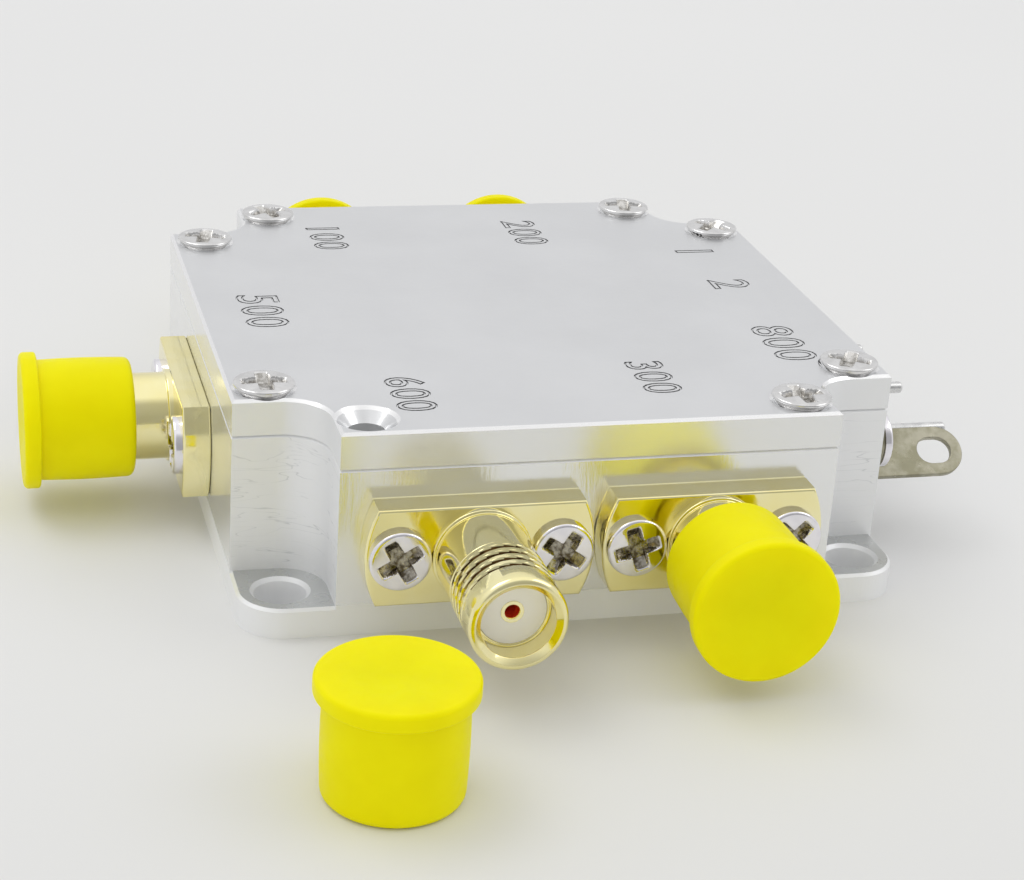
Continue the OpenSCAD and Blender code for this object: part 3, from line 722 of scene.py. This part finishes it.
def screw_mesh(name, rise, edge, crown, shank_l, cone=False, finish=(NICKEL, RECESS)):
    """rise of the head, fillet of its edge, height of its crown, length of its shank."""
    steps = 144
    fine = RECESS_REACH + 0.06
    radii = [fine * k / 34 for k in range(35)]
    radii += [fine + (HEAD_R - edge - fine) * k / 4 for k in range(1, 5)]

    def top(r):
        return rise - crown * (r / HEAD_R) ** 2

    verts = [(0, 0, top(0) - recess(0, 0))]
    for r in radii[1:]:
        for k in range(steps):
            a = TURN * k / steps
            x, y = r * math.cos(a), r * math.sin(a)
            verts.append((x, y, top(r) - recess(x, y)))
    shoulder = top(HEAD_R - edge)
    outline = [(HEAD_R - edge + edge * math.sin(a), shoulder - edge * (1 - math.cos(a)))
               for a in (math.pi / 2 * k / 5 for k in range(1, 6))]
    if cone:
        outline.append((SHANK_R, SHANK_R - HEAD_R))
    else:
        outline += [(HEAD_R, 0), (SHANK_R, 0)]
    outline += [(SHANK_R, SHANK_TIP - shank_l), (SHANK_R - SHANK_TIP, -shank_l)]
    for r, z in outline:
        for k in range(steps):
            a = TURN * k / steps
            verts.append((r * math.cos(a), r * math.sin(a), z))
    faces = [(0, 1 + k, 1 + (k + 1) % steps) for k in range(steps)]
    kinds = [1] * steps
    rings = len(radii) - 1 + len(outline)
    for ring in range(rings - 1):
        low, high = 1 + ring * steps, 1 + (ring + 1) * steps
        on_top = ring + 2 < len(radii)
        for k in range(steps):
            n = (k + 1) % steps
            faces.append((low + k, high + k, high + n, low + n))
            # Faces deep in the cross take the second material, painted with shade.
            sunk = on_top and all(recess(*verts[i][:2]) > RECESS_SEEN for i in faces[-1])
            kinds.append(int(sunk))
    faces.append(tuple(1 + (rings - 1) * steps + k for k in range(steps)))
    kinds.append(0)
    mesh = new_mesh(name, scaled(verts), faces, *finish)
    mesh.polygons.foreach_set("material_index", kinds)
    return mesh


# The five jacks with their contacts and screws

JACK_SHELL = ready(jack_mesh())
CONTACT = ready(contact_mesh(), 40)
PAN = ready(screw_mesh("pan_screw", PAN_RISE, PAN_EDGE, PAN_CROWN, JACK_SCREW_L), 50)
FLANGE_SCREW_PITCH = 10.8 * MM
JACK_SCREW_TURNS = {"1": (12, 63), "2": (71, 35), "3": (17, 45), "4": (30, 57), "common": (55, 8)}

for port, direction in PORTS.items():
    place = facing(port_place(port), direction)
    shell = weighted(piece("jack_" + port, JACK_SHELL, "module", place))
    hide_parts("jack_shell_" + port)
    contact = piece("contact_" + port, CONTACT, "module", place)
    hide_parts("jack_contact_" + port)
    for side, turn in zip((-1, 1), JACK_SCREW_TURNS[port]):
        seat = place @ Matrix.Translation((side * FLANGE_SCREW_PITCH / 2, 0, FLANGE_T))
        name = "jack_" + port + "_screw_" + ("a" if side < 0 else "b")
        screw = piece(name, PAN, "module", turned(seat, turn))
        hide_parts("jack_screws_" + port)


# Lid, its engraved numbers and its screws

LETTER_LINE = 0.075
NUMBERS = [
    ("100", -11.0, 15.0, 2.6), ("200", 5.05, 15.4, 2.6), ("300", 6.0, -15.6, 2.6),
    ("600", -11.2, -16.9, 2.6), ("500", -18.5, -0.6, 2.95), ("800", 17.5, -10.2, 3.0),
    ("1", 17.5, 9.9, 3.0), ("2", 17.8, 2.2, 3.0)
]


def made_mesh(obj):
    """The mesh of an object with its modifiers, or of a text with its bevel."""
    bpy.context.view_layer.update()
    return bpy.data.meshes.new_from_object(obj.evaluated_get(bpy.context.evaluated_depsgraph_get()))


def outline_cutter(text, x, y, height):
    """Thin tubes along the outlines of the digits, which read towards -Y with their tops at +X."""
    curve = bpy.data.curves.new("cutter", "FONT")
    curve.body = text
    curve.fill_mode = "NONE"
    curve.resolution_u = 4
    curve.space_character = 1.1
    curve.bevel_mode = "ROUND"
    curve.bevel_resolution = 1
    trial = linked("cutter", curve)
    outline = [v.co.y for v in made_mesh(trial).vertices]
    curve.size *= height * MM / (max(outline) - min(outline))
    curve.bevel_depth = LETTER_LINE * MM
    made = made_mesh(trial)
    bpy.data.objects.remove(trial)
    points = [v.co for v in made.vertices]
    centre = Vector([(max(axis) + min(axis)) / 2 for axis in zip(*points)])
    made.transform(Matrix.Translation(-centre))
    made.transform(Matrix((
        (0, 1, 0, x * MM), (-1, 0, 0, y * MM), (0, 0, 1, LID_TOP), (0, 0, 0, 1))))
    return made


def all_cutters():
    cut = bmesh.new()
    for text, x, y, height in NUMBERS:
        cut.from_mesh(outline_cutter(text, x, y, height))
    bmesh.ops.remove_doubles(cut, verts=cut.verts, dist=1e-7)
    bmesh.ops.recalc_face_normals(cut, faces=cut.faces)
    mesh = bpy.data.meshes.new("cutter")
    cut.to_mesh(mesh)
    cut.free()
    return mesh


def plain_lid():
    """A copy of the CAD lid, its triangles joined into whole faces."""
    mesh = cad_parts["lid"].data.copy()
    mesh.materials.clear()
    mesh.materials.append(LID)
    mesh.materials.append(GROOVE)
    work = bmesh.new()
    work.from_mesh(mesh)
    bmesh.ops.remove_doubles(work, verts=work.verts, dist=1e-6)
    bmesh.ops.dissolve_limit(work, angle_limit=1e-4, verts=work.verts, edges=work.edges)
    work.to_mesh(mesh)
    work.free()
    mesh.polygons.foreach_set("material_index", [0] * len(mesh.polygons))
    return mesh


def engraved_lid():
    """The lid with its numbers cut in; the faces in the cuts take the second material, painted dark
    for shade.
    """
    lid = linked("lid_plate", plain_lid())
    cutter = linked("cutter", all_cutters())
    modifier = lid.modifiers.new("cut", "BOOLEAN")
    modifier.operation = "DIFFERENCE"
    modifier.solver = "EXACT"
    modifier.use_self = True
    modifier.object = cutter
    result = made_mesh(lid)
    bpy.data.objects.remove(lid)
    bpy.data.objects.remove(cutter)
    kinds = []
    for polygon in result.polygons:
        c = polygon.center
        sunk = LID_TOP - 2 * LETTER_LINE * MM < c.z < LID_TOP - 1e-7
        near = any(
            abs(c.x / MM - x) < height / 2 + 2 * LETTER_LINE and abs(c.y / MM - y) < 1.5 * height
            for _, x, y, height in NUMBERS)
        kinds.append(int(sunk and near and abs(polygon.normal.z) < 0.999))
    result.polygons.foreach_set("material_index", kinds)
    return result


lid = piece("lid_plate", ready(engraved_lid(), 25), "module", Matrix())
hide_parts("lid")

# Seven screws, as (x, y, turn of the recess); the eighth hole is empty
LID_FAR = HALF / MM - 2.4
LID_NEAR = HALF / MM - NOTCH_W - 2.1
LID_SCREW_PLACES = [
    (-LID_FAR, -LID_NEAR, 0), (-LID_FAR, LID_NEAR, 74), (-LID_NEAR, LID_FAR, 111),
    (LID_FAR, -LID_NEAR, 148), (LID_NEAR, -LID_FAR, 185), (LID_FAR, LID_NEAR, 222),
    (LID_NEAR, LID_FAR, 259)
]
LID_SCREW = ready(screw_mesh(
    "lid_screw", LID_SCREW_RISE, LID_SCREW_EDGE, LID_SCREW_CROWN, LID_SCREW_L,
    cone=True, finish=(GREY_NICKEL, GREY_RECESS)), 50)
for number, (x, y, turn) in enumerate(LID_SCREW_PLACES, 1):
    seat = Matrix.Translation((x * MM, y * MM, LID_TOP))
    screw = piece("lid_screw_" + str(number), LID_SCREW, "module", turned(seat, turn))
    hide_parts("lid_screws")


# Dust caps

CAP_L = size("dust_cap_4").z / MM
CAP_R = 4.35
CAP_RIM_R = size("dust_cap_4").x / 2 / MM
CAP_RIM_T = 1.15
CAP_BODY_FROM = CAP_RIM_T + 0.15
CAP_BODY_L = CAP_L - CAP_RIM_T - 0.75
CAP_BORE_R = 3.225
CAP_END_T = 0.6
CAP_DISH_R = 3.7
CAP_DISH = 0.16
CAP_BULGE = 0.1
CAP_SEAT = JACK_L / MM + 0.65


def cap_mesh():
    """Turned round Z: the closed end at Z = 0 softly dished, the body a little barrelled."""
    dish = [(CAP_DISH_R * k / 12, CAP_DISH * (1 - smooth(k / 12))) for k in range(12)]
    body = []
    for k in range(9):
        swell = CAP_BULGE * (math.sin(math.pi * (0.12 + 0.76 * (k / 8))) - 1)
        body.append((CAP_R + swell, CAP_BODY_FROM + CAP_BODY_L * (k / 8)))
    rim = [
        (CAP_DISH_R, 0), (CAP_RIM_R, 0, 0.32), (CAP_RIM_R, CAP_RIM_T, 0.2),
        (body[0][0], CAP_RIM_T + 0.02, 0.1), body[0]
    ]
    mouth = [
        body[-1], (body[-1][0] - 0.03, CAP_L, 0.5), (CAP_BORE_R, CAP_L, 0.15),
        (CAP_BORE_R, CAP_END_T, 0.2), (0, CAP_END_T)
    ]
    profile = dish + fillet(rim, 6) + body[1:-1] + fillet(mouth, 6)
    return new_mesh("dust_cap", *lathe(scaled(profile), 128), CAP)


CAP_MESH = ready(cap_mesh(), 40)
for port, direction in PORTS.items():
    if port == "4":
        stand = middle("dust_cap_4")
        stand.z = CAP_L * MM
        place = facing(stand, (0, 0, -1))
        body = "cap_loose"
    else:
        out = Vector(direction)
        place = facing(port_place(port) + out * CAP_SEAT * MM, -out)
        body = "cap_" + port
    cap = piece("cap_" + port, CAP_MESH, body, place)
    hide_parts("dust_cap_" + port)


# Feedthroughs

BUSH_HALF = 2.0
BUSH_T = 1.1
BUSH_IN = -4.8
BUSH_R = 1.5
SEAL_R = 1.03
PIN_R = 0.25
POST_R = 0.45
POST_FROM = 1.5
PIN_END = 8.6
PIN_IN = -7.4


def hexagon(r, z, angle):
    """Keeps a turned outline inside a hexagon with two corners up and down."""
    if z <= 0:
        return r
    from_corner = (angle - math.pi / 2) % (math.pi / 3) - math.pi / 6
    return min(r, BUSH_HALF * MM / math.cos(from_corner))


def bush_mesh():
    """A round stem in the wall and a hexagon outside it, with one bore through both."""
    corner = BUSH_HALF / math.cos(math.pi / 6)
    profile = [
        (SEAL_R, BUSH_IN), (BUSH_R, BUSH_IN), (BUSH_R, 0), (corner, 0.001), (corner, BUSH_T - 0.2),
        (BUSH_HALF - 0.05, BUSH_T), (SEAL_R + 0.08, BUSH_T), (SEAL_R, BUSH_T - 0.08),
        (SEAL_R, BUSH_IN)
    ]
    return new_mesh("bush", *lathe(scaled(profile), 96, hexagon), BUSH)


def pin_mesh():
    profile = fillet([
        (0, PIN_IN), (PIN_R, PIN_IN, 0.08), (PIN_R, POST_FROM), (POST_R, POST_FROM, 0.05),
        (POST_R, PIN_END, 0.2), (0, PIN_END)
    ])
    return new_mesh("pin", *lathe(scaled(profile), 32), PIN)


BUSH_MESH = ready(bush_mesh(), 20)
PIN_MESH = ready(pin_mesh(), 40)
for k in FEEDS:
    wall = middle("feedthrough_bush_" + k)
    wall.x = HALF
    place = facing(wall, (1, 0, 0))
    bush = piece("bush_" + k, BUSH_MESH, "module", place)
    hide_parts("feedthrough_bush_" + k)
    pin = piece("pin_" + k, PIN_MESH, "module", place)
    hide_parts("feedthrough_pin_" + k)


# Ground lug: cut flat, then bent

LUG_T = 0.45
LUG_HALF_W = 1.925
LUG_DROP = 2.4
LUG_TILT = 40
LUG_REACH = 8.2
LUG_BEND_R = 0.35
LUG_BEND_CUTS = 12
LUG_SLOT = (4.7, 7.35, 1.025)
LUG_HOLE_R = 1.05
LUG_SOFT_EDGE = 0.05
LUG_SCREW_TURN = 20


def lug_outline():
    """Start and length of the bend along the flat sheet, and the sheet's loops of (along, across):
    the edge, the screw hole and the oblong hole."""
    tail = LUG_REACH - LUG_HALF_W
    bend = (LUG_BEND_R + LUG_T / 2) * math.pi / 2
    start = LUG_DROP - LUG_BEND_R
    shift = start + bend - (LUG_T + LUG_BEND_R)
    edge = arc((0, 0), LUG_HALF_W, 90, 270, 24) + arc((tail + shift, 0), LUG_HALF_W, -90, 90, 24)
    hole = arc((0, 0), LUG_HOLE_R, 0, 350, 35)
    a, b, r = LUG_SLOT
    slot = arc((a + r + shift, 0), r, 90, 270, 16) + arc((b - r + shift, 0), r, -90, 90, 16)
    return start, bend, [edge, hole, slot]


def bent(along, across, depth, start, bend):
    """A point of the flat sheet, depth above its wall side, in the lug's own frame."""
    if along <= start:
        return (depth, across, -along)
    inner = LUG_BEND_R + LUG_T
    turn = min((along - start) / bend, 1) * math.pi / 2
    r = inner - depth
    x = inner - r * math.cos(turn)
    z = -start - r * math.sin(turn)
    return (x + max(along - start - bend, 0), across, z)


def lug_mesh():
    start, bend, loops = lug_outline()
    work = bmesh.new()
    edges = []
    for loop in loops:
        ring = [work.verts.new((s, t, 0)) for s, t in loop]
        edges += [work.edges.new((ring[k - 1], ring[k])) for k in range(len(ring))]
    bmesh.ops.triangle_fill(work, edges=edges, use_beauty=True, use_dissolve=False)
    for k in range(LUG_BEND_CUTS + 1):
        cut = Vector((start + bend * k / LUG_BEND_CUTS, 0, 0))
        geometry = work.verts[:] + work.edges[:] + work.faces[:]
        bmesh.ops.bisect_plane(work, geom=geometry, plane_co=cut, plane_no=(1, 0, 0), dist=1e-6)
    grown = bmesh.ops.extrude_face_region(work, geom=work.faces[:])
    for item in grown["geom"]:
        if isinstance(item, bmesh.types.BMVert):
            item.co.z = LUG_T
    bmesh.ops.recalc_face_normals(work, faces=work.faces)
    for vert in work.verts:
        vert.co = Vector(bent(*vert.co, start, bend)) * MM
    mesh = new_mesh("lug", [], [], TIN)
    work.to_mesh(mesh)
    work.free()
    return mesh


lug_place = middle("lug_screw")
lug_place.x = HALF
tilt = Matrix.Rotation(math.radians(LUG_TILT), 4, "X")
lug = piece("lug", ready(lug_mesh()), "module", Matrix.Translation(lug_place) @ tilt)
modifier = lug.modifiers.new("soft_edges", "BEVEL")
modifier.width = LUG_SOFT_EDGE * MM
modifier.segments = 2
modifier.limit_method = "ANGLE"
modifier.angle_limit = math.radians(50)
weighted(lug)
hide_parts("ground_lug")

LUG_SCREW = ready(screw_mesh("lug_screw", PAN_RISE, PAN_EDGE, PAN_CROWN, LUG_SCREW_L), 50)
seat = facing(lug_place + Vector((LUG_T * MM, 0, 0)), (1, 0, 0))
screw = piece("lug_fixing", LUG_SCREW, "module", turned(seat, LUG_SCREW_TURN))
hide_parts("lug_screw")


# Finishes of the parts that keep their CAD shape

FINISHES = {
    "housing": MILLED, "circuit_board": BOARD, "board_screws": NICKEL, "copper_tracks": COPPER,
    "solder_joints": SOLDER, "switch_chip": CHIP, "regulator": CHIP,
    "bypass_capacitors": CAPACITOR, "resistors": RESISTOR
}
for port in PORTS:
    FINISHES["jack_insulator_" + port] = WHITE
    FINISHES["blocking_capacitor_" + port] = CAPACITOR
for k in FEEDS:
    FINISHES["feedthrough_seal_" + k] = SEAL
for node, material in FINISHES.items():
    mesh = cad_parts[node].data
    mesh.materials.clear()
    mesh.materials.append(material)


# Floor, light and camera; their sizes and places are in metres

FLOOR_HALF = 3
ROOM_SIDE = (0.76, 0.762, 0.77, 1)
ROOM_TOP = (0.98, 0.98, 0.98, 1)
DARK_TOWARDS = (0.1, -0.92, 0.36)
DARK_SHADE = 0.52
CAMERA_AT = (-43.04, -153.31, 71.73)
CAMERA_AZIMUTH = 15.94
CAMERA_DROP = 23.28
CAMERA_ROLL = 3.87
FOCAL_PIXELS = 2299.17
IMAGE_WIDTH = 1024
SENSOR = 36


def floor():
    """Pale paper, with painted shade making it a little darker towards the camera, where the light
    falls off.
    """
    s = Shader("pale_paper")
    tone = s.mix(s.span(s.noise(0.004, 2), 0, 1), (0.77, 0.77, 0.765), (0.80, 0.80, 0.795))
    # Painted shade: the floor's colour darkens towards the camera for the fall-off of the light.
    forward = s.span(s.place(1), 1, 0, -110, -10)
    s.set("Base Color", s.mix(forward, tone, (0.67, 0.67, 0.66)))
    s.bump(s.noise(1.5), 0.004)
    s.set("Roughness", 0.6)
    s.set("Specular IOR Level", 0.2)
    corners = [(x * FLOOR_HALF, y * FLOOR_HALF, 0) for x, y in ((-1, -1), (1, -1), (1, 1), (-1, 1))]
    obj = linked("floor", new_mesh("floor", corners, [(0, 1, 2, 3)], s.material))


def area_light(name, place, target, width, height, power):
    light = bpy.data.lights.new(name, "AREA")
    light.shape = "RECTANGLE"
    light.size = width
    light.size_y = height
    light.energy = power
    obj = linked(name, light)
    aim = (Vector(target) - Vector(place)).to_track_quat("-Z", "Y")
    obj.matrix_world = Matrix.Translation(place) @ aim.to_matrix().to_4x4()
    return obj


def surroundings():
    """A pale room: brightest overhead, with a darker stretch behind the camera."""
    world = bpy.data.worlds.new("room")
    bpy.context.scene.world = world
    world.use_nodes = True
    nodes, links = world.node_tree.nodes, world.node_tree.links
    nodes.clear()
    out = nodes.new("ShaderNodeOutputWorld")
    background = nodes.new("ShaderNodeBackground")
    links.new(background.outputs[0], out.inputs["Surface"])
    coords = nodes.new("ShaderNodeTexCoord")
    split = nodes.new("ShaderNodeSeparateXYZ")
    links.new(coords.outputs["Generated"], split.inputs[0])
    height = nodes.new("ShaderNodeValToRGB")
    links.new(split.outputs[2], height.inputs[0])
    stops = height.color_ramp.elements
    stops[0].position, stops[0].color = 0.3, ROOM_SIDE
    stops[1].position, stops[1].color = 0.85, ROOM_TOP
    dot = nodes.new("ShaderNodeVectorMath")
    dot.operation = "DOT_PRODUCT"
    links.new(coords.outputs["Generated"], dot.inputs[0])
    dot.inputs[1].default_value = Vector(DARK_TOWARDS).normalized()
    shade = nodes.new("ShaderNodeMapRange")
    shade.interpolation_type = "SMOOTHSTEP"
    links.new(dot.outputs["Value"], shade.inputs["Value"])
    for socket, number in zip(MAP_RANGE, (0.62, 0.9, 1, DARK_SHADE)):
        shade.inputs[socket].default_value = number
    scale = nodes.new("ShaderNodeVectorMath")
    scale.operation = "SCALE"
    links.new(height.outputs[0], scale.inputs[0])
    links.new(shade.outputs[0], scale.inputs["Scale"])
    links.new(scale.outputs[0], background.inputs["Color"])
    background.inputs["Strength"].default_value = 1.0


def camera():
    """The photograph's view: place in millimetres, angles in degrees, focal length in pixels."""
    azimuth, drop, roll = (math.radians(a) for a in (CAMERA_AZIMUTH, CAMERA_DROP, CAMERA_ROLL))
    ahead = math.cos(drop)
    forward = Vector((math.sin(azimuth) * ahead, math.cos(azimuth) * ahead, -math.sin(drop)))
    right = Vector((math.cos(azimuth), -math.sin(azimuth), 0))
    up = right.cross(forward)
    x = math.cos(roll) * right + math.sin(roll) * up
    y = math.cos(roll) * up - math.sin(roll) * right
    data = bpy.data.cameras.new("camera")
    data.sensor_fit = "HORIZONTAL"
    data.sensor_width = SENSOR
    data.lens = FOCAL_PIXELS / IMAGE_WIDTH * SENSOR
    data.clip_start = 0.005
    data.clip_end = 20
    obj = linked("camera", data)
    basis = Matrix((x, y, -forward)).transposed().to_4x4()
    obj.matrix_world = Matrix.Translation(Vector(CAMERA_AT) * MM) @ basis
    bpy.context.scene.camera = obj


floor()
surroundings()
area_light("key", (-0.35, 0.25, 0.75), (0, 0, 0), 0.5, 0.4, 1.1)
area_light("fill", (0.55, -0.1, 0.5), (0, 0, 0), 0.4, 0.4, 0.5)
front = area_light("front", (-0.15, -0.7, 0.12), (0, 0, 0.005), 0.6, 0.16, 0.8)
front.visible_glossy = False
camera()
bpy.context.scene.view_settings.view_transform = "Standard"

bpy.context.view_layer.update()
